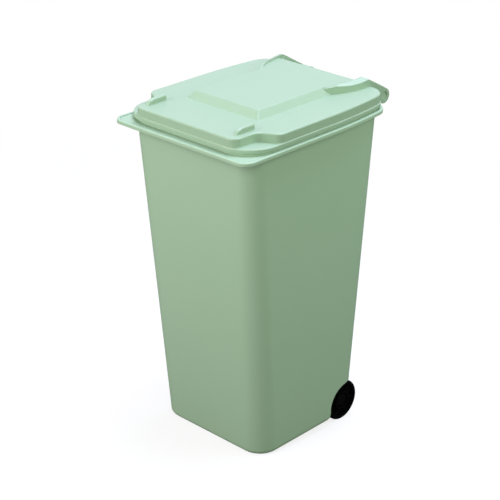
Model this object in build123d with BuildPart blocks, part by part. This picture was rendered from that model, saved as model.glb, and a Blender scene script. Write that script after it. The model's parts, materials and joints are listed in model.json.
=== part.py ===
from build123d import *
import os
from math import asin, atan2, cos, degrees, hypot, radians, sin, sqrt

# A small desk bin shaped like a wheeled kerbside bin, in millimetres, standing on Z = 0.
# X runs across the bin, its front faces -Y, and its hinge and wheels are at +Y.
# The tub and the lid are drawn upright in the tub's own frame. The wheels reach below the
# tub's base, so the whole bin leans forward a little onto its front edge.

# Tub shell
base_half_width = 31.1
base_half_depth = 31.4
base_corner = 9.9
mouth_half_width = 35.3
mouth_front = 41.7
mouth_rear = 39.6
mouth_corner = 8.8
rim_underside = 143.4
wall = 1.6
floor_thickness = 1.8
base_edge_radius = 2.5
foot_flat_depth = 0.3

# Rim flange, its rounded bead, and the raised seat that carries the lid. From side_straight_end
# back, the sides of rim and lid curve in by side_draw_in.
rim_thickness = 1.6
rim_side_overhang = 3.5
rim_front_overhang = 6.3
rim_rear_overhang = 4.0
rim_front_corner = 5.0
rim_rear_corner = 10.0
rim_edge_radius = 0.45
rim_bead_width = 1.3
rim_groove_depth = 0.3
side_straight_end = 5.0
side_draw_in = 3.2
seat_height = 0.5
seat_inset = 1.2

# Lid lip and deck
lid_gap = 0.3
lip_thickness = 1.8
lip_side_setback = 0.6
lip_front_setback = 3.9
lip_rear_setback = 0.5
lip_front_corner = 15.0
lip_rear_corner = 9.5
lip_edge_radius = 0.5
deck_setback = 0.3
deck_rise = 3.9
deck_edge_radius = 0.7
tongue_setback = 8.8
tongue_depth = 15.0
tongue_corner = 4.2
shoulder_slant = 4.4
shoulder_inner_radius = 5.0
shoulder_outer_radius = 4.0
lid_top_wall = 1.5
lid_side_wall = 2.2
corner_reach = 0.01

# Raised panel on the deck
panel_rise = 3.1
panel_slope_run = 2.6
panel_half_width = 18.1
panel_front = 18.8
panel_side_end = 23.5
panel_rear = 37.6
panel_edge_radius = 0.6

# Finger ribs on the tongue
rib_setback = 3.7
rib_width = 2.0
rib_height = 2.5
rib_front_setback = 3.7
rib_length = 11.0
rib_edge_radius = 0.8

# Hinge
hinge_behind_rim = 7.4
hinge_above_rim = 0.4
knuckle_radius = 3.4
knuckle_outer = 26.8
knuckle_width = 4.4
rod_radius = 1.85
rod_recess = 1.0
running_clearance = 0.06
lug_width = 4.6
lug_side_gap = 0.9
lug_root_depth = 6.0
lug_gusset_drop = 3.0
lid_slide = 0.6

# Hinge arms
arm_crest_above_panel = 1.8
arm_front = 19.5
arm_rise_run = 13.3
arm_crest_run = 6.2
arm_bend_radius = 9.0
arm_front_width = 1.2
arm_waist_outer = 23.7
arm_waist_run = 9.0
arm_tail_setback = 1.1
arm_crest_slope = 0.4

# Wheels, axle and hub caps
wheel_radius = 9.6
wheel_width = 6.0
wheel_inset = 2.0
wheel_edge_radius = 0.9
wheel_rim_width = 1.8
wheel_web_recess = 1.2
hub_radius = 4.4
spoke_count = 6
spoke_width = 1.2
spoke_step = 0.4
axle_from_rear = 6.4
axle_above_base = 5.6
axle_radius = 1.5
axle_tunnel_clearance = 1.5
well_clearance = 0.9
well_side_gap = 0.4
well_foot_radius = 4.0
cap_radius = 3.1
cap_thickness = 1.4
cap_bore_depth = 0.9
cap_gap = 0.3
cap_pocket_depth = 2.0
cap_edge_radius = 0.5

# Sizes and places that follow from the sizes above, in the tub's frame
rim_half_width = mouth_half_width + rim_side_overhang
rim_front = mouth_front + rim_front_overhang
rim_rear = mouth_rear + rim_rear_overhang
rim_top = rim_underside + rim_thickness
seat_top = rim_top + seat_height
lip_half_width = rim_half_width - lip_side_setback
lip_front = rim_front - lip_front_setback
lip_rear = rim_rear - lip_rear_setback
lip_bottom = seat_top + lid_gap
lip_top = lip_bottom + lip_thickness
deck_half_width = lip_half_width - deck_setback
tongue_half_width = deck_half_width - tongue_setback
deck_front = lip_front - deck_setback
deck_rear = lip_rear - deck_setback
deck_top = lip_top + deck_rise
shoulder_y = tongue_depth - deck_front
panel_top = deck_top + panel_rise
arm_crest = panel_top + arm_crest_above_panel
hinge_y = rim_rear + hinge_behind_rim
hinge_z = rim_top + hinge_above_rim
knuckle_inner = knuckle_outer - knuckle_width
arm_tail_outer = knuckle_outer - arm_tail_setback
lug_outer = knuckle_inner - lug_side_gap
axle_y = base_half_depth - axle_from_rear
axle_z = axle_above_base
wheel_outer_face = base_half_width - wheel_inset
wheel_inner_face = wheel_outer_face - wheel_width
well_inner_face = wheel_inner_face - well_side_gap
well_radius = wheel_radius + well_clearance
axle_end = wheel_outer_face - cap_pocket_depth + cap_gap + cap_bore_depth

# The lean puts the wheels on the floor and cuts a narrow flat along the tub's front edge
contact_run = axle_y + base_half_depth - base_edge_radius
contact_rise = axle_z - base_edge_radius
contact_drop = wheel_radius - base_edge_radius + foot_flat_depth
lean = asin(contact_drop / hypot(contact_run, contact_rise)) - atan2(contact_rise, contact_run)
front_reach = (
    -cos(lean) * (rim_front - rim_edge_radius) - sin(lean) * (rim_top - rim_edge_radius) - rim_edge_radius
)
rear_reach = cos(lean) * hinge_y - sin(lean) * hinge_z + knuckle_radius
tub_origin = (
    0,
    -(front_reach + rear_reach) / 2,
    wheel_radius - sin(lean) * axle_y - cos(lean) * axle_z,
)
tub = Plane(origin=tub_origin, x_dir=(1, 0, 0), z_dir=(0, -sin(lean), cos(lean)))
tub_side = Plane(origin=tub_origin, x_dir=(0, cos(lean), sin(lean)), z_dir=(1, 0, 0))
tub_up = Axis(origin=tub_origin, direction=tub.z_dir)
tub_back = Axis(origin=tub_origin, direction=tub.y_dir)
axle_centre = tub.from_local_coords((0, axle_y, axle_z))
axle_axis = Axis(origin=axle_centre, direction=(1, 0, 0))
wheel_side = Plane(origin=axle_centre, x_dir=(0, 1, 0), z_dir=(1, 0, 0))
wheel_section = Plane(origin=axle_centre, x_dir=(1, 0, 0), z_dir=(0, -1, 0))


def shell_outline(height, inset):
    """Draw the shell's rounded outline at a height, inset from its outer face."""
    share = height / rim_underside
    half_width = base_half_width + share * (mouth_half_width - base_half_width) - inset
    front = base_half_depth + share * (mouth_front - base_half_depth) - inset
    rear = base_half_depth + share * (mouth_rear - base_half_depth) - inset
    corner = base_corner + share * (mouth_corner - base_corner) - inset
    with Locations((0, (rear - front) / 2)):
        RectangleRounded(2 * half_width, front + rear, corner)


def plate_outline(half_width, front, rear, front_corner, rear_corner, inset):
    """Return a plate's outline, inset from its edge, with sides that curve in towards the rear."""
    side = half_width - inset
    with BuildSketch() as plate:
        with BuildLine():
            Polyline((0, inset - front), (side, inset - front), (side, side_straight_end))
            TangentArc((side, side_straight_end), (side - side_draw_in, rear - inset), tangent=(0, 1))
            Line((side - side_draw_in, rear - inset), (0, rear - inset))
            mirror(about=Plane.YZ)
        make_face()
        fillet(plate.vertices().group_by(Axis.Y)[0], front_corner - inset)
        fillet(plate.vertices().group_by(Axis.Y)[-1], rear_corner - inset)
    return plate.sketch


def rim_outline(inset):
    """Return the rim flange's outline, inset from its edge."""
    return plate_outline(rim_half_width, rim_front, rim_rear, rim_front_corner, rim_rear_corner, inset)


def lip_outline(inset):
    """Return the lid lip's outline, inset from its edge."""
    return plate_outline(lip_half_width, lip_front, lip_rear, lip_front_corner, lip_rear_corner, inset)


def corners_at(sketch, place):
    """Return a sketch's corners that lie at one place along Y."""
    return sketch.vertices().filter_by_position(Axis.Y, place - corner_reach, place + corner_reach)


def deck_outline(inset):
    """Return the deck's outline, inset from its edge: a wide rear and a narrower front tongue."""
    shoulder_inner = shoulder_y - shoulder_slant / 2
    shoulder_outer = shoulder_y + shoulder_slant / 2
    with BuildSketch() as deck:
        with BuildLine():
            Polyline(
                (0, -deck_front),
                (tongue_half_width, -deck_front),
                (tongue_half_width, shoulder_inner),
                (deck_half_width, shoulder_outer),
                (deck_half_width, side_straight_end),
            )
            rear_corner = (deck_half_width - side_draw_in, deck_rear)
            TangentArc((deck_half_width, side_straight_end), rear_corner, tangent=(0, 1))
            Line(rear_corner, (0, deck_rear))
            mirror(about=Plane.YZ)
        make_face()
        fillet(deck.vertices().group_by(Axis.Y)[0], tongue_corner)
        fillet(deck.vertices().group_by(Axis.Y)[-1], lip_rear_corner - deck_setback)
        fillet(corners_at(deck, shoulder_inner), shoulder_inner_radius)
        fillet(corners_at(deck, shoulder_outer), shoulder_outer_radius)
        if inset:
            offset(amount=-inset)
    return deck.sketch


def arm_curve(front, waist, tail):
    """Draw one side of a hinge arm in plan: an arc that straightens towards the hinge."""
    ThreePointArc((front, arm_front), (waist, arm_front + arm_waist_run), (tail, deck_rear))


def well_outline(margin):
    """Return a wheel well's side view: an arch with a flared front foot, grown by a margin."""
    foot_y = axle_y - sqrt((well_radius + well_foot_radius) ** 2 - (axle_z - well_foot_radius) ** 2)
    with BuildSketch() as well:
        with BuildLine():
            Polyline(
                (foot_y, well_foot_radius),
                (foot_y, -wheel_radius),
                (axle_y, -wheel_radius),
                (axle_y, axle_z),
                close=True,
            )
        make_face()
        with Locations((foot_y, well_foot_radius)):
            Circle(well_foot_radius - margin, mode=Mode.SUBTRACT)
        with Locations((axle_y, axle_z)):
            Circle(well_radius + margin)
    return well.sketch


def tunnel_outline(margin):
    """Draw the axle's tunnel in side view: a round-topped channel, grown by a margin."""
    half_width = axle_radius + axle_tunnel_clearance + margin
    with Locations((axle_y, axle_z)):
        Circle(half_width)
        Rectangle(2 * half_width, wheel_radius, align=(Align.CENTER, Align.MAX))


# Inside of the tub, which leaves a housing round each wheel and round the axle
with BuildPart() as tub_hollow:
    with BuildSketch(tub.offset(floor_thickness)):
        shell_outline(floor_thickness, wall)
    with BuildSketch(tub.offset(seat_top)):
        shell_outline(seat_top, wall)
    loft(ruled=True)
    for side in (-1, 1):
        with BuildSketch(tub_side.offset(side * (well_inner_face - wall))):
            add(well_outline(wall))
        extrude(amount=side * mouth_half_width, mode=Mode.SUBTRACT)
    with BuildSketch(tub_side):
        tunnel_outline(wall)
    extrude(amount=well_inner_face, both=True, mode=Mode.SUBTRACT)

# Tub: tapered shell, rim flange with the lid's seat, two hinge lugs and two wheel wells
with BuildPart() as bin_body:
    with BuildSketch(tub):
        shell_outline(0, 0)
    with BuildSketch(tub.offset(rim_top - rim_thickness / 2)):
        shell_outline(rim_top - rim_thickness / 2, 0)
    loft(ruled=True)
    fillet(bin_body.edges().group_by(tub_up)[0], base_edge_radius)

    with BuildSketch(tub.offset(rim_underside)):
        add(rim_outline(0))
    extrude(amount=rim_thickness)
    rim_faces = bin_body.faces().filter_by(tub).sort_by(tub_up)
    fillet(rim_faces[-1].outer_wire().edges(), rim_edge_radius)
    with BuildSketch(tub.offset(rim_top)):
        add(rim_outline(rim_bead_width))
    extrude(amount=-rim_groove_depth, mode=Mode.SUBTRACT)
    with BuildSketch(tub.offset(rim_underside + rim_thickness / 2)):
        add(lip_outline(seat_inset))
    extrude(amount=seat_height + rim_thickness / 2)

    for side in (-1, 1):
        with BuildSketch(tub_side.offset(side * lug_outer)):
            with Locations((hinge_y, hinge_z)):
                Circle(knuckle_radius)
            with BuildLine():
                Polyline(
                    (lip_rear, rim_top - rim_thickness / 2),
                    (rim_rear, rim_top - rim_thickness / 2),
                    (
                        hinge_y - knuckle_radius * sin(radians(45)),
                        hinge_z + knuckle_radius * cos(radians(45)),
                    ),
                    (hinge_y, hinge_z - knuckle_radius),
                    (lip_rear, rim_top - lug_root_depth),
                    (mouth_rear - wall / 2, rim_top - lug_root_depth - lug_gusset_drop),
                    (mouth_rear - wall / 2, rim_top - rim_thickness / 2),
                    close=True,
                )
            make_face()
        extrude(amount=-side * lug_width)

    add(tub_hollow.part, mode=Mode.SUBTRACT)
    for side in (-1, 1):
        with BuildSketch(tub_side.offset(side * well_inner_face)):
            add(well_outline(0))
        extrude(amount=side * mouth_half_width, mode=Mode.SUBTRACT)
    with BuildSketch(tub_side):
        tunnel_outline(0)
    extrude(amount=well_inner_face - wall, both=True, mode=Mode.SUBTRACT)
    with BuildSketch(tub_side):
        with Locations((axle_y, axle_z)):
            Circle(axle_radius)
        with Locations((hinge_y, hinge_z)):
            Circle(rod_radius)
    extrude(amount=mouth_half_width, both=True, mode=Mode.SUBTRACT)
    with BuildSketch(Plane.XY):
        Rectangle(4 * mouth_half_width, 4 * mouth_front)
    extrude(amount=-wheel_radius, mode=Mode.SUBTRACT)

bin_body.part.label = "bin_body"

# Right hinge arm: a curved rib with a sloping crest, which drops behind the lid to its knuckle
with BuildPart() as hinge_arm:
    with BuildSketch(tub):
        with BuildLine():
            arm_curve(panel_half_width, arm_waist_outer, arm_tail_outer)
            Polyline(
                (arm_tail_outer, deck_rear),
                (knuckle_outer, hinge_y - knuckle_radius),
                (knuckle_outer, hinge_y + knuckle_radius),
                (knuckle_inner, hinge_y + knuckle_radius),
                (knuckle_inner, deck_rear),
            )
            arm_curve(
                panel_half_width - arm_front_width,
                arm_waist_outer - (arm_front_width + arm_tail_outer - knuckle_inner) / 2,
                knuckle_inner,
            )
            Line(
                (panel_half_width - arm_front_width, arm_front),
                (panel_half_width, arm_front),
            )
        make_face()
    extrude(amount=arm_crest)

    crest_front = arm_front + arm_rise_run
    crest_rear = crest_front + arm_crest_run
    knuckle_run = hinge_y - crest_rear
    knuckle_drop = arm_crest - hinge_z
    fall = atan2(knuckle_drop, knuckle_run) - asin(knuckle_radius / hypot(knuckle_run, knuckle_drop))
    with BuildSketch(tub_side) as arm_profile:
        with BuildLine():
            Polyline(
                (arm_front, deck_top - lid_top_wall / 2),
                (arm_front, panel_top - panel_edge_radius),
                (crest_front, arm_crest),
                (crest_rear, arm_crest),
                (hinge_y + knuckle_radius * sin(fall), hinge_z + knuckle_radius * cos(fall)),
                (hinge_y, hinge_z),
                (hinge_y - knuckle_radius * cos(fall), hinge_z - knuckle_radius * sin(fall)),
                (deck_rear, lip_top - lip_thickness / 2),
                (deck_rear - lid_side_wall / 2, lip_top),
                (deck_rear - lid_side_wall / 2, deck_top - lid_top_wall / 2),
                close=True,
            )
        make_face()
        fillet(arm_profile.vertices().group_by(Axis.Y)[-1], arm_bend_radius)
        with Locations((hinge_y, hinge_z)):
            Circle(knuckle_radius)
    extrude(amount=2 * knuckle_outer, mode=Mode.INTERSECT)

    crest_run = (knuckle_inner - panel_half_width + arm_front_width) / (deck_rear - arm_front)
    crest_point = tub.from_local_coords((knuckle_inner, deck_rear, arm_crest))
    crest_normal_tip = tub.from_local_coords(
        (knuckle_inner + arm_crest_slope, deck_rear - arm_crest_slope * crest_run, arm_crest + 1)
    )
    split(
        bisect_by=Plane(origin=crest_point, z_dir=crest_normal_tip - crest_point),
        keep=Keep.BOTTOM,
    )
    with BuildSketch(tub_side):
        with Locations((hinge_y, hinge_z)):
            Circle(rod_radius + running_clearance)
    extrude(amount=2 * knuckle_outer, mode=Mode.SUBTRACT)

# Raised panel, with soft edges on its top and its front corners
with BuildPart() as raised_panel:
    with BuildSketch(tub.offset(deck_top)):
        with Locations((0, (panel_side_end - panel_front - panel_slope_run) / 2)):
            Rectangle(2 * (panel_half_width + panel_slope_run), panel_side_end + panel_front + panel_slope_run)
    with BuildSketch(tub.offset(panel_top)):
        with Locations((0, (panel_side_end - panel_front) / 2)):
            Rectangle(2 * panel_half_width, panel_side_end + panel_front)
    loft()
    rear_edges = raised_panel.faces().sort_by(tub_back)[-1].edges()
    base_edges = raised_panel.faces().sort_by(tub_up)[0].edges()
    fillet(raised_panel.edges() - rear_edges - base_edges, panel_edge_radius)

# Hollow under the lid's deck and under its raised panel
with BuildPart() as lid_hollow:
    with BuildSketch(tub.offset(lip_bottom)):
        add(deck_outline(lid_side_wall))
    extrude(amount=deck_top - lid_top_wall - lip_bottom)
    with BuildSketch(tub.offset(deck_top - lid_top_wall)):
        with Locations((0, (panel_side_end - panel_front - panel_slope_run) / 2)):
            Rectangle(
                2 * (panel_half_width + panel_slope_run - lid_top_wall),
                panel_side_end + panel_front + panel_slope_run - 2 * lid_top_wall,
            )
    with BuildSketch(tub.offset(panel_top - lid_top_wall)):
        with Locations((0, (panel_side_end - panel_front) / 2)):
            Rectangle(2 * (panel_half_width - lid_top_wall), panel_side_end + panel_front - 2 * lid_top_wall)
    loft()
    with BuildSketch(tub.offset(deck_top - lid_top_wall)):
        with Locations((0, panel_rear - lid_top_wall)):
            Rectangle(
                2 * (panel_half_width - arm_front_width - lid_top_wall),
                panel_rear - panel_side_end + lid_top_wall,
                align=(Align.CENTER, Align.MAX),
            )
    extrude(amount=panel_rise)

# Finger rib: a thin fin that rises from the tongue's front to a square rear end
with BuildPart() as finger_rib:
    rib_front = rib_front_setback - deck_front
    rib_rear = rib_front + rib_length
    with BuildSketch(tub_side):
        with BuildLine():
            Polyline(
                (rib_front, deck_top),
                (rib_front, deck_top - lid_top_wall / 2),
                (rib_rear, deck_top - lid_top_wall / 2),
                (rib_rear, deck_top + rib_height),
                ((rib_front + rib_rear) / 2, deck_top + rib_height),
            )
            Spline(
                ((rib_front + rib_rear) / 2, deck_top + rib_height),
                (rib_front, deck_top),
                tangents=((-1, 0), (-1, -3)),
            )
        make_face()
    extrude(amount=rib_width / 2, both=True)
    rib_rear_face = finger_rib.faces().sort_by(tub_back)[-1]
    fillet(rib_rear_face.edges().filter_by(tub_up), rib_edge_radius)
    fillet(finger_rib.edges().group_by(tub_up)[-1], rib_edge_radius)

# Lid: lip, tongued deck, raised panel, two finger ribs and the two hinge arms
with BuildPart() as lid:
    with BuildSketch(tub.offset(lip_bottom)):
        add(lip_outline(0))
    extrude(amount=lip_thickness)
    fillet(lid.edges().group_by(tub_up)[-1], lip_edge_radius)
    with BuildSketch(tub.offset(lip_bottom)):
        add(deck_outline(0))
    extrude(amount=deck_top - lip_bottom)
    fillet(lid.edges().group_by(tub_up)[-1], deck_edge_radius)

    add(raised_panel.part)
    with BuildSketch(tub.offset(deck_top)):
        with BuildLine():
            Line((0, arm_front), (panel_half_width - arm_front_width / 2, arm_front))
            arm_curve(
                panel_half_width - arm_front_width / 2,
                arm_waist_outer - (arm_front_width + arm_tail_outer - knuckle_inner) / 4,
                (arm_tail_outer + knuckle_inner) / 2,
            )
            Line(((arm_tail_outer + knuckle_inner) / 2, deck_rear), (0, deck_rear))
            mirror(about=Plane.YZ)
        make_face()
    extrude(amount=panel_rise)
    with BuildSketch(tub_side):
        with BuildLine():
            Polyline(
                (panel_rear, panel_top),
                (panel_rear + panel_slope_run, deck_top),
                (rim_rear, deck_top),
                (rim_rear, panel_top),
                close=True,
            )
        make_face()
    extrude(amount=deck_half_width, both=True, mode=Mode.SUBTRACT)

    for rib_centre in (rib_setback - tongue_half_width, tongue_half_width - rib_setback):
        add(finger_rib.part.translate((rib_centre, 0, 0)))
    add(lid_hollow.part, mode=Mode.SUBTRACT)
    add(hinge_arm.part)
    add(hinge_arm.part.mirror(Plane.YZ))

# The lid has slid a little along its rod, within the side gap between knuckles and lugs
lid_piece = lid.part.translate((-lid_slide, 0, 0))
lid_piece.label = "lid"

# Hinge rod: pressed into the tub's lugs, with the lid's knuckles turning on its ends
with BuildPart() as hinge_rod:
    with BuildSketch(tub_side):
        with Locations((hinge_y, hinge_z)):
            Circle(rod_radius)
    extrude(amount=knuckle_outer - rod_recess, both=True)

hinge_rod.part.label = "hinge_rod"

# Axle: pressed through both wheel wells, with the wheels turning on its ends
with BuildPart() as axle:
    with BuildSketch(wheel_side):
        Circle(axle_radius)
    extrude(amount=axle_end, both=True)

axle.part.label = "axle"

# Wheels: a web with low spokes between hub and rim, and a pocket for the hub cap
wheels = {}
for name, side in (("wheel_left", -1), ("wheel_right", 1)):
    with BuildPart() as wheel:
        with BuildSketch(wheel_section) as wheel_profile:
            with BuildLine():
                inner = side * wheel_inner_face
                outer = side * wheel_outer_face
                web = side * (wheel_outer_face - wheel_web_recess)
                pocket = side * (wheel_outer_face - cap_pocket_depth)
                Polyline(
                    (inner, axle_radius + running_clearance),
                    (inner, wheel_radius),
                    (outer, wheel_radius),
                    (outer, wheel_radius - wheel_rim_width),
                    (web, wheel_radius - wheel_rim_width),
                    (web, hub_radius),
                    (outer, hub_radius),
                    (outer, cap_radius + cap_gap),
                    (pocket, cap_radius + cap_gap),
                    (pocket, axle_radius + running_clearance),
                    close=True,
                )
            make_face()
            fillet(wheel_profile.vertices().group_by(Axis.Y)[-1], wheel_edge_radius)
        revolve(axis=axle_axis)
        with BuildSketch(wheel_side.offset(web)):
            with PolarLocations((hub_radius + wheel_radius - wheel_rim_width) / 2, spoke_count):
                Rectangle(wheel_radius - wheel_rim_width - hub_radius + spoke_step, spoke_width)
        extrude(amount=side * (wheel_web_recess - spoke_step))
    wheel.part.label = name
    wheels[name] = wheel.part

# Hub caps: blind push-on caps on the axle's ends, sunk in the wheels' pockets
caps = {}
for name, side in (("wheel_cap_left", -1), ("wheel_cap_right", 1)):
    with BuildPart() as cap:
        with BuildSketch(wheel_side.offset(side * (axle_end - cap_bore_depth))):
            Circle(cap_radius)
        extrude(amount=side * cap_thickness)
        fillet(cap.edges().group_by(Axis.X)[-1 if side > 0 else 0], cap_edge_radius)
        with BuildSketch(wheel_side.offset(side * (axle_end - cap_bore_depth))):
            Circle(axle_radius)
        extrude(amount=side * cap_bore_depth, mode=Mode.SUBTRACT)
    cap.part.label = name
    caps[name] = cap.part

hinge_centre = tub.from_local_coords((0, hinge_y, hinge_z))
print("lean in degrees", round(degrees(lean), 4))
print("tub origin", [round(value, 4) for value in tub_origin])
print("hinge centre", [round(value, 4) for value in hinge_centre])
print("axle centre", [round(value, 4) for value in axle_centre])

os.makedirs("parts", exist_ok=True)
pieces = [bin_body.part, lid_piece, hinge_rod.part, axle.part, *wheels.values(), *caps.values()]
for piece in pieces:
    export_step(piece, f"parts/{piece.label}.step")
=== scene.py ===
"""Small wheeled desk bin in pale green plastic, dressed and lit on a white studio floor.

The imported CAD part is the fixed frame. Its own solids stay in view and get finishes here. Every length is in
metres, in the part's frame: +Z up, the bin's front at -Y and its hinge and wheels at +Y.
"""

import json
import logging
import math
from dataclasses import dataclass, field
from enum import Enum

import bpy
from mathutils import Matrix, Vector

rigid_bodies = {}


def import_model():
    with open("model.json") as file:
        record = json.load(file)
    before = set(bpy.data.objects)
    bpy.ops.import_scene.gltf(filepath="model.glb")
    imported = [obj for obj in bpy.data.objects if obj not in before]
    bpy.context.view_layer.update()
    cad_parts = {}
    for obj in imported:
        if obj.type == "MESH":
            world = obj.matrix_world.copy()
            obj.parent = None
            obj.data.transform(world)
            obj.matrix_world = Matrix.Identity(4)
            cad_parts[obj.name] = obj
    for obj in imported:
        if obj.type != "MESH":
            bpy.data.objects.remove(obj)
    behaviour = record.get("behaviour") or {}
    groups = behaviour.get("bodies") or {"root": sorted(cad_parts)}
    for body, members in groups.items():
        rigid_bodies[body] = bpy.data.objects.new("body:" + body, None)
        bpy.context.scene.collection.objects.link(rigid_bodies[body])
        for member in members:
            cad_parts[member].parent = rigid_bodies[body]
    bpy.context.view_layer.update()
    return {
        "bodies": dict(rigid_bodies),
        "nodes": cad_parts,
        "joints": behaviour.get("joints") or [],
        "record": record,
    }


LOG = logging.getLogger("wheeled_bin")
MM = 0.001
PHOTO_SIDE_PX = 500
BEVEL_SAMPLES = 6
# A mix node has sockets for every type of data. These are the places of its colour ones.
MIX_FIRST_COLOUR = 6
MIX_SECOND_COLOUR = 7
MIX_COLOUR_RESULT = 2

Colour = tuple[float, float, float]
Stretch = tuple[float, float, float]
NodeTree = bpy.types.NodeTree
Socket = bpy.types.NodeSocket


def outward_from(azimuth: float, elevation: float) -> Vector:
    """Work out which way a viewpoint or a lamp lies from the bin.

    Args:
        azimuth: Degrees round from the front, towards the right side.
        elevation: Degrees above the level.

    Returns:
        The unit vector from the bin.
    """
    around, up = math.radians(azimuth), math.radians(elevation)
    return Vector((math.sin(around) * math.cos(up), -math.cos(around) * math.cos(up), math.sin(up)))


class Side(Enum):
    """The bin's two sides, as the CAD nodes' names spell them."""

    LEFT = "left"
    RIGHT = "right"


@dataclass(frozen=True)
class TubFrame:
    """The upright frame in which the tub and the photograph's camera are described.

    The tub leans forward on its front edge, so this frame is turned about X and shifted.
    """

    lean: float = math.radians(4.5864)
    origin: Vector = field(default_factory=lambda: Vector((0, 8.3979, 2.0189)) * MM)

    def turned(self, direction: Vector) -> Vector:
        """Return a direction of the tub's frame in the part's frame."""
        return Matrix.Rotation(self.lean, 3, "X") @ direction

    def placed(self, point: Vector) -> Vector:
        """Return a point of the tub's frame in the part's frame."""
        return self.origin + self.turned(point)


@dataclass
class ShaderSheet:
    """A material's node sheet, with short ways to add the nodes that the finishes share."""

    material: bpy.types.Material

    @property
    def tree(self) -> NodeTree:
        """Return the material's node tree."""
        return self.material.node_tree

    @classmethod
    def blank(cls, name: str) -> "ShaderSheet":
        """Make a material with an empty node tree.

        Args:
            name: The material's name.

        Returns:
            The sheet of the new material.
        """
        material = bpy.data.materials.new(name)
        material.use_nodes = True
        material.node_tree.nodes.clear()
        return cls(material)

    def add(self, kind: str, **settings: object) -> bpy.types.Node:
        """Add a node and set its properties.

        Args:
            kind: The node's type name.
            **settings: Values of the node's own properties.

        Returns:
            The new node.
        """
        node = self.tree.nodes.new(kind)
        for key, value in settings.items():
            setattr(node, key, value)
        return node

    def join(self, source: Socket, target: Socket) -> None:
        """Link one socket to another."""
        self.tree.links.new(source, target)

    def feed(self, target: Socket, value: "Socket | float | Colour") -> None:
        """Give a socket a link or a constant.

        Args:
            target: The input socket.
            value: An output socket to link, or a number or colour to set.
        """
        if isinstance(value, bpy.types.NodeSocket):
            self.join(value, target)
        elif isinstance(value, tuple):
            target.default_value = (*value, 1.0)
        else:
            target.default_value = value

    def maths(self, operation: str, first: "Socket | float", second: "Socket | float") -> Socket:
        """Add a clamped maths node on two values.

        Args:
            operation: The maths node's operation.
            first: The first value or socket.
            second: The second value or socket.

        Returns:
            The result's socket.
        """
        node = self.add("ShaderNodeMath", operation=operation, use_clamp=True)
        self.feed(node.inputs[0], first)
        self.feed(node.inputs[1], second)
        return node.outputs[0]

    def noise(self, grain: float, detail: float, stretch: Stretch = (1, 1, 1)) -> Socket:
        """Add a noise in the part's own coordinates.

        Args:
            grain: Size of the noise's features.
            detail: Number of finer octaves.
            stretch: How many times finer the noise is along each axis.

        Returns:
            The noise value's socket, from 0 to 1.
        """
        place = self.add("ShaderNodeTexCoord").outputs["Object"]
        scaled = self.add("ShaderNodeMapping")
        scaled.inputs["Scale"].default_value = stretch
        self.join(place, scaled.inputs["Vector"])
        texture = self.add("ShaderNodeTexNoise")
        texture.inputs["Scale"].default_value = 1 / grain
        texture.inputs["Detail"].default_value = detail
        self.join(scaled.outputs["Vector"], texture.inputs["Vector"])
        return texture.outputs["Fac"]

    def spread(self, value: Socket, low: float, high: float) -> Socket:
        """Map a 0 to 1 value to a range.

        Args:
            value: The value's socket.
            low: Result at 0.
            high: Result at 1.

        Returns:
            The mapped value's socket.
        """
        node = self.add("ShaderNodeMapRange")
        self.join(value, node.inputs["Value"])
        node.inputs["To Min"].default_value = low
        node.inputs["To Max"].default_value = high
        return node.outputs["Result"]

    def blend(self, share: "Socket | float", first: "Socket | Colour", second: "Socket | Colour") -> Socket:
        """Blend two colours.

        Args:
            share: Share of the second colour.
            first: The first colour or its socket.
            second: The second colour or its socket.

        Returns:
            The blended colour's socket.
        """
        node = self.add("ShaderNodeMix", data_type="RGBA")
        self.feed(node.inputs["Factor"], share)
        self.feed(node.inputs[MIX_FIRST_COLOUR], first)
        self.feed(node.inputs[MIX_SECOND_COLOUR], second)
        return node.outputs[MIX_COLOUR_RESULT]

    def edge_mask(self, radius: float, gain: float) -> Socket:
        """Mark the solid's edges, where a bevelled normal parts from the true one.

        Args:
            radius: How far from an edge the mask reaches.
            gain: How strongly the two normals' difference counts.

        Returns:
            The mask's socket, 1 on a sharp edge and 0 on a flat face.
        """
        bevel = self.add("ShaderNodeBevel", samples=BEVEL_SAMPLES)
        bevel.inputs["Radius"].default_value = radius
        surface = self.add("ShaderNodeNewGeometry")
        match = self.add("ShaderNodeVectorMath", operation="DOT_PRODUCT")
        self.join(bevel.outputs["Normal"], match.inputs[0])
        self.join(surface.outputs["Normal"], match.inputs[1])
        return self.maths("MULTIPLY", self.maths("SUBTRACT", 1.0, match.outputs["Value"]), gain)

    def grained_normal(self, edge_radius: float, grain: Socket, depth: float) -> Socket:
        """Round the solid's edges a little and give its faces a moulded grain.

        Args:
            edge_radius: Radius of the soft edge.
            grain: The grain's height, from 0 to 1.
            depth: The grain's depth.

        Returns:
            The shading normal's socket.
        """
        bevel = self.add("ShaderNodeBevel", samples=BEVEL_SAMPLES)
        bevel.inputs["Radius"].default_value = edge_radius
        bump = self.add("ShaderNodeBump")
        bump.inputs["Strength"].default_value = 1.0
        bump.inputs["Distance"].default_value = depth
        self.join(grain, bump.inputs["Height"])
        self.join(bevel.outputs["Normal"], bump.inputs["Normal"])
        return bump.outputs["Normal"]

    def finish(self, shader: Socket) -> bpy.types.Material:
        """Link the last shader to the material's output.

        Args:
            shader: The surface shader's socket.

        Returns:
            The finished material.
        """
        output = self.add("ShaderNodeOutputMaterial")
        self.join(shader, output.inputs["Surface"])
        return self.material


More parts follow.
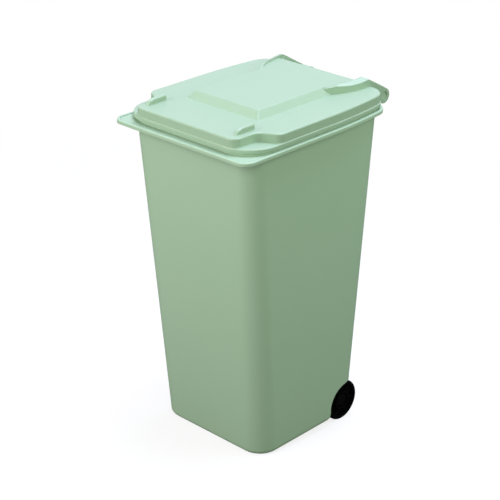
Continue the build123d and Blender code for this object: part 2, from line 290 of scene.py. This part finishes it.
@dataclass(frozen=True)
class MouldedPlastic:
    """Injection-moulded plastic: one colour with faint clouds, a fine spark-eroded grain and lighter edges.

    An edge takes up to a set share of a lighter colour, partly rubbed wear and partly a painted highlight,
    and only a fraction of that share where the scuffs are faint.
    """

    name: str
    colour: Colour
    clouded: Colour
    # Lighter edge colour: partly rubbed wear, partly a painted highlight.
    worn_and_highlit: Colour
    roughness: float
    roughness_range: float = 0.06
    specular: float = 0.5
    cloud_size: float = 34 * MM
    cloud_detail: float = 3.0
    scuff_size: float = 2.6 * MM
    scuff_detail: float = 4.0
    grain_size: float = 0.35 * MM
    grain_detail: float = 1.0
    grain_depth: float = 0.006 * MM
    edge_radius: float = 0.3 * MM
    edge_gain: float = 4.0
    # Share of the lighter edge colour, and its least fraction where scuffs are faint: partly wear, partly
    # painted highlight.
    wear_and_highlight_share: float = 0.35
    least_wear_and_highlight: float = 0.3

    def material(self) -> bpy.types.Material:
        """Make the plastic's material.

        Returns:
            The new material.
        """
        sheet = ShaderSheet.blank(self.name)
        clouds = sheet.noise(self.cloud_size, self.cloud_detail)
        scuffs = sheet.noise(self.scuff_size, self.scuff_detail)
        grain = sheet.noise(self.grain_size, self.grain_detail)
        edges = sheet.edge_mask(self.edge_radius, self.edge_gain)
        # Edges lightened where scuffs fall: partly rubbed wear, partly a painted highlight along the edges.
        wear_and_highlight_amount = sheet.spread(scuffs, self.least_wear_and_highlight * self.wear_and_highlight_share, self.wear_and_highlight_share)
        rubbed_and_highlit_share = sheet.maths("MULTIPLY", edges, wear_and_highlight_amount)
        tinted = sheet.blend(clouds, self.colour, self.clouded)
        shader = sheet.add("ShaderNodeBsdfPrincipled")
        sheet.feed(shader.inputs["Base Color"], sheet.blend(rubbed_and_highlit_share, tinted, self.worn_and_highlit))
        low, high = self.roughness - self.roughness_range, self.roughness + self.roughness_range
        sheet.feed(shader.inputs["Roughness"], sheet.spread(scuffs, low, high))
        shader.inputs["Specular IOR Level"].default_value = self.specular
        sheet.feed(shader.inputs["Normal"], sheet.grained_normal(self.edge_radius, grain, self.grain_depth))
        return sheet.finish(shader.outputs["BSDF"])


@dataclass(frozen=True)
class DrawnSteel:
    """Bright steel wire with fine draw lines along X."""

    name: str
    colour: Colour
    dulled: Colour
    roughness: float
    roughness_range: float = 0.08
    line_size: float = 0.4 * MM
    line_detail: float = 2.0
    line_stretch: Stretch = (0.05, 1, 1)
    line_depth: float = 0.004 * MM
    edge_radius: float = 0.15 * MM
    edge_gain: float = 3.0

    def material(self) -> bpy.types.Material:
        """Make the steel's material.

        Returns:
            The new material.
        """
        sheet = ShaderSheet.blank(self.name)
        lines = sheet.noise(self.line_size, self.line_detail, self.line_stretch)
        edges = sheet.edge_mask(self.edge_radius, self.edge_gain)
        shader = sheet.add("ShaderNodeBsdfPrincipled")
        drawn = sheet.blend(lines, self.colour, self.dulled)
        # Edges take the full bright, undulled colour: a painted highlight along them.
        sheet.feed(shader.inputs["Base Color"], sheet.blend(edges, drawn, self.colour))
        low, high = self.roughness - self.roughness_range, self.roughness + self.roughness_range
        sheet.feed(shader.inputs["Roughness"], sheet.spread(lines, low, high))
        shader.inputs["Metallic"].default_value = 1.0
        sheet.feed(shader.inputs["Normal"], sheet.grained_normal(self.edge_radius, lines, self.line_depth))
        return sheet.finish(shader.outputs["BSDF"])


Finish = MouldedPlastic | DrawnSteel

SAGE_TUB = MouldedPlastic(
    name="sage_tub_plastic",
    colour=(0.335, 0.495, 0.325),
    clouded=(0.350, 0.510, 0.341),
    worn_and_highlit=(0.50, 0.64, 0.49),
    roughness=0.46,
)
# The lid's green is the tub's plastic written about 11 % darker: painted shade that offsets the stronger light
# from above on the lid.
SAGE_LID_SHADED = MouldedPlastic(
    name="sage_lid_shaded_plastic",
    colour=(0.298, 0.442, 0.290),
    clouded=(0.312, 0.456, 0.304),
    worn_and_highlit=(0.46, 0.60, 0.47),
    roughness=0.40,
    edge_radius=0.4 * MM,
)
SAGE_ROD = MouldedPlastic(
    name="sage_rod_plastic",
    colour=(0.345, 0.500, 0.335),
    clouded=(0.360, 0.515, 0.352),
    worn_and_highlit=(0.52, 0.66, 0.52),
    roughness=0.40,
    cloud_size=12 * MM,
)
# The wheels' and caps' black is written far darker than black plastic is: partly the plastic's own black,
# partly painted shade.
BLACK_WHEEL_SHADED = MouldedPlastic(
    name="black_wheel_shaded_plastic",
    colour=(0.0005, 0.0005, 0.0005),
    clouded=(0.0009, 0.0009, 0.0009),
    worn_and_highlit=(0.006, 0.006, 0.0062),
    roughness=0.60,
    specular=0.025,
    cloud_size=6 * MM,
    grain_depth=0.01 * MM,
)
BLACK_CAP_SHADED = MouldedPlastic(
    name="black_cap_shaded_plastic",
    colour=(0.0008, 0.0008, 0.0008),
    clouded=(0.0013, 0.0013, 0.0013),
    worn_and_highlit=(0.008, 0.008, 0.0082),
    roughness=0.50,
    specular=0.035,
    cloud_size=3 * MM,
)
BRIGHT_WIRE = DrawnSteel(
    name="bright_wire_steel",
    colour=(0.62, 0.62, 0.63),
    dulled=(0.42, 0.42, 0.43),
    roughness=0.32,
)


def dress_node(frame: dict, node: str, finish: Finish) -> None:
    """Give a CAD node one finish in every material slot of its object.

    Args:
        frame: The loaded frame.
        node: The CAD node's name.
        finish: The finish to put on it.
    """
    mesh_slots = frame["nodes"][node].material_slots
    material = bpy.data.materials.get(finish.name) or finish.material()
    for mesh_slot in mesh_slots:
        mesh_slot.material = material
    LOG.info("dressed %s in %s", node, finish.name)


@dataclass
class Tub:
    """The tapered tub with its rim flange, lid seat and hinge lugs."""

    frame: dict

    def dress(self) -> None:
        """Put the green plastic on the tub."""
        dress_node(self.frame, "bin_body", SAGE_TUB)


@dataclass
class Lid:
    """The hinged lid with its raised panel, finger ribs and hinge arms."""

    frame: dict

    def dress(self) -> None:
        """Put the lid's green plastic, written darker as painted shade, on it."""
        dress_node(self.frame, "lid", SAGE_LID_SHADED)


@dataclass
class HingeRod:
    """The rod through the lugs, on whose ends the lid turns."""

    frame: dict

    def dress(self) -> None:
        """Put the green plastic on the rod."""
        dress_node(self.frame, "hinge_rod", SAGE_ROD)


@dataclass
class RollingGear:
    """The axle with its two wheels and their push-on caps."""

    frame: dict

    def dress(self) -> None:
        """Put steel on the axle, and on the wheels and caps black plastic written darker than black plastic
        is, partly as painted shade.
        """
        dress_node(self.frame, "axle", BRIGHT_WIRE)
        for side in Side:
            dress_node(self.frame, f"wheel_{side.value}", BLACK_WHEEL_SHADED)
            dress_node(self.frame, f"wheel_cap_{side.value}", BLACK_CAP_SHADED)


@dataclass
class SoftLamp:
    """A large square lamp that faces the bin's middle, at angles as outward_from takes them."""

    name: str
    azimuth: float
    elevation: float
    power: float
    side: float = 0.5
    distance: float = 0.8
    colour: Colour = (1.0, 1.0, 1.0)
    aim_height: float = 80 * MM

    def build(self) -> None:
        """Hang the lamp and aim it."""
        lamp = bpy.data.lights.new(self.name, "AREA")
        lamp.energy = self.power
        lamp.size = self.side
        lamp.color = self.colour
        outward = outward_from(self.azimuth, self.elevation)
        holder = bpy.data.objects.new(self.name, lamp)
        holder.location = Vector((0, 0, self.aim_height)) + outward * self.distance
        holder.rotation_euler = outward.to_track_quat("Z", "Y").to_euler()
        bpy.context.scene.collection.objects.link(holder)


@dataclass
class Studio:
    """White floor, white surroundings and soft lamps.

    To the camera, near_white_share of the floor's look is a white glow up to near_reach from its middle, and
    all of it from far_reach on. The rest is the lit floor, which keeps the bin's soft shadow.
    """

    floor_side: float = 4.0
    floor_colour: Colour = (0.14, 0.135, 0.115)
    seen_floor_colour: Colour = (0.94, 0.94, 0.94)
    near_white_share: float = 0.80
    near_reach: float = 0.10
    far_reach: float = 0.45
    world_colour: Colour = (1.0, 1.0, 1.0)
    world_light: float = 0.24
    seen_world_light: float = 1.0
    lamps: tuple[SoftLamp, ...] = (
        SoftLamp(
            name="lamp_above",
            azimuth=170,
            elevation=78,
            power=6.35,
            colour=(0.96, 0.96, 1.40),
        ),
        SoftLamp(
            name="lamp_front_left",
            azimuth=-18,
            elevation=20,
            power=1.92,
            distance=0.5,
            side=0.3,
            colour=(1.02, 0.98, 1.02),
        ),
        SoftLamp(
            name="lamp_right",
            azimuth=112,
            elevation=30,
            power=0.86,
            distance=0.5,
            side=0.3,
            colour=(0.88, 1.02, 0.85),
        ),
        SoftLamp(
            name="lamp_corner",
            azimuth=50,
            elevation=28,
            power=0.86,
            distance=0.6,
            side=0.3,
            colour=(1.0, 0.98, 0.94),
        ),
    )

    def build_floor(self) -> None:
        """Lay the floor, which the camera sees whiter than the light that it throws back."""
        bpy.ops.mesh.primitive_plane_add(size=self.floor_side, location=(0, 0, 0))
        floor = bpy.context.object
        floor.name = "studio_floor"
        sheet = ShaderSheet.blank("studio_floor_white")
        ray = sheet.add("ShaderNodeLightPath")
        matt = sheet.add("ShaderNodeBsdfDiffuse")
        paint = sheet.blend(ray.outputs["Is Camera Ray"], self.floor_colour, self.seen_floor_colour)
        sheet.feed(matt.inputs["Color"], paint)
        glow = sheet.add("ShaderNodeEmission")
        place = sheet.add("ShaderNodeTexCoord").outputs["Object"]
        away = sheet.add("ShaderNodeVectorMath", operation="LENGTH")
        sheet.join(place, away.inputs[0])
        share = sheet.spread(away.outputs["Value"], self.near_white_share, 1.0)
        share.node.inputs["From Min"].default_value = self.near_reach
        share.node.inputs["From Max"].default_value = self.far_reach
        seen = sheet.maths("MULTIPLY", ray.outputs["Is Camera Ray"], share)
        mix = sheet.add("ShaderNodeMixShader")
        sheet.join(seen, mix.inputs[0])
        sheet.join(matt.outputs[0], mix.inputs[1])
        sheet.join(glow.outputs[0], mix.inputs[2])
        floor.data.materials.append(sheet.finish(mix.outputs[0]))

    def build_world(self) -> None:
        """Surround the bin with a soft white light, seen as pure white by the camera and in reflections."""
        world = bpy.data.worlds.new("studio_world")
        world.use_nodes = True
        bpy.context.scene.world = world
        tree = world.node_tree
        tree.nodes.clear()
        light = tree.nodes.new("ShaderNodeBackground")
        light.inputs["Color"].default_value = (*self.world_colour, 1)
        light.inputs["Strength"].default_value = self.world_light
        seen = tree.nodes.new("ShaderNodeBackground")
        seen.inputs["Color"].default_value = (*self.world_colour, 1)
        seen.inputs["Strength"].default_value = self.seen_world_light
        ray = tree.nodes.new("ShaderNodeLightPath")
        shown = tree.nodes.new("ShaderNodeMath")
        shown.operation = "MAXIMUM"
        mirrored = tree.nodes.new("ShaderNodeMath")
        mirrored.operation = "MAXIMUM"
        mix = tree.nodes.new("ShaderNodeMixShader")
        output = tree.nodes.new("ShaderNodeOutputWorld")
        tree.links.new(ray.outputs["Is Camera Ray"], shown.inputs[0])
        tree.links.new(ray.outputs["Is Glossy Ray"], mirrored.inputs[0])
        tree.links.new(ray.outputs["Is Transmission Ray"], mirrored.inputs[1])
        tree.links.new(mirrored.outputs[0], shown.inputs[1])
        tree.links.new(shown.outputs[0], mix.inputs[0])
        tree.links.new(light.outputs[0], mix.inputs[1])
        tree.links.new(seen.outputs[0], mix.inputs[2])
        tree.links.new(mix.outputs[0], output.inputs["Surface"])

    def build(self) -> None:
        """Build the floor, the surroundings and the lamps."""
        self.build_floor()
        self.build_world()
        for lamp in self.lamps:
            lamp.build()
        LOG.info("studio with %d lamps", len(self.lamps))


@dataclass
class PhotoCamera:
    """The photograph's viewpoint, given in the tub's upright frame."""

    azimuth: float = 43.615
    elevation: float = 25.373
    distance: float = 672.6 * MM
    aim: Vector = field(default_factory=lambda: Vector((0, 0, 74.5)) * MM)
    focal_px: float = 1525.76
    centre_px: tuple[float, float] = (258.91, 262.74)
    sensor: float = 36.0
    nearest: float = 0.05
    farthest: float = 20.0
    tub_frame: TubFrame = field(default_factory=TubFrame)

    def build(self) -> None:
        """Set up the camera and make it the scene's own."""
        back = outward_from(self.azimuth, self.elevation)
        lens = bpy.data.cameras.new("photo_camera")
        lens.sensor_width = self.sensor
        lens.lens = self.focal_px * self.sensor / PHOTO_SIDE_PX
        lens.shift_x = (PHOTO_SIDE_PX / 2 - self.centre_px[0]) / PHOTO_SIDE_PX
        lens.shift_y = (self.centre_px[1] - PHOTO_SIDE_PX / 2) / PHOTO_SIDE_PX
        lens.clip_start, lens.clip_end = self.nearest, self.farthest
        right = Vector((0, 0, 1)).cross(back).normalized()
        upward = back.cross(right)
        axes = [self.tub_frame.turned(axis) for axis in (right, upward, back)]
        turn = Matrix(axes).transposed().to_4x4()
        place = self.tub_frame.placed(self.aim + back * self.distance)
        camera = bpy.data.objects.new("photo_camera", lens)
        camera.matrix_world = Matrix.Translation(place) @ turn
        bpy.context.scene.collection.objects.link(camera)
        bpy.context.scene.camera = camera


def main() -> None:
    """Load the CAD frame, dress each sub-assembly, and set up the studio and the camera."""
    logging.basicConfig(level=logging.INFO, format="%(name)s: %(message)s")
    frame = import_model()
    bpy.context.scene.view_settings.view_transform = "Standard"
    for assembly in (Tub(frame), Lid(frame), HingeRod(frame), RollingGear(frame)):
        assembly.dress()
    Studio().build()
    PhotoCamera().build()


if __name__ == "__main__":
    main()
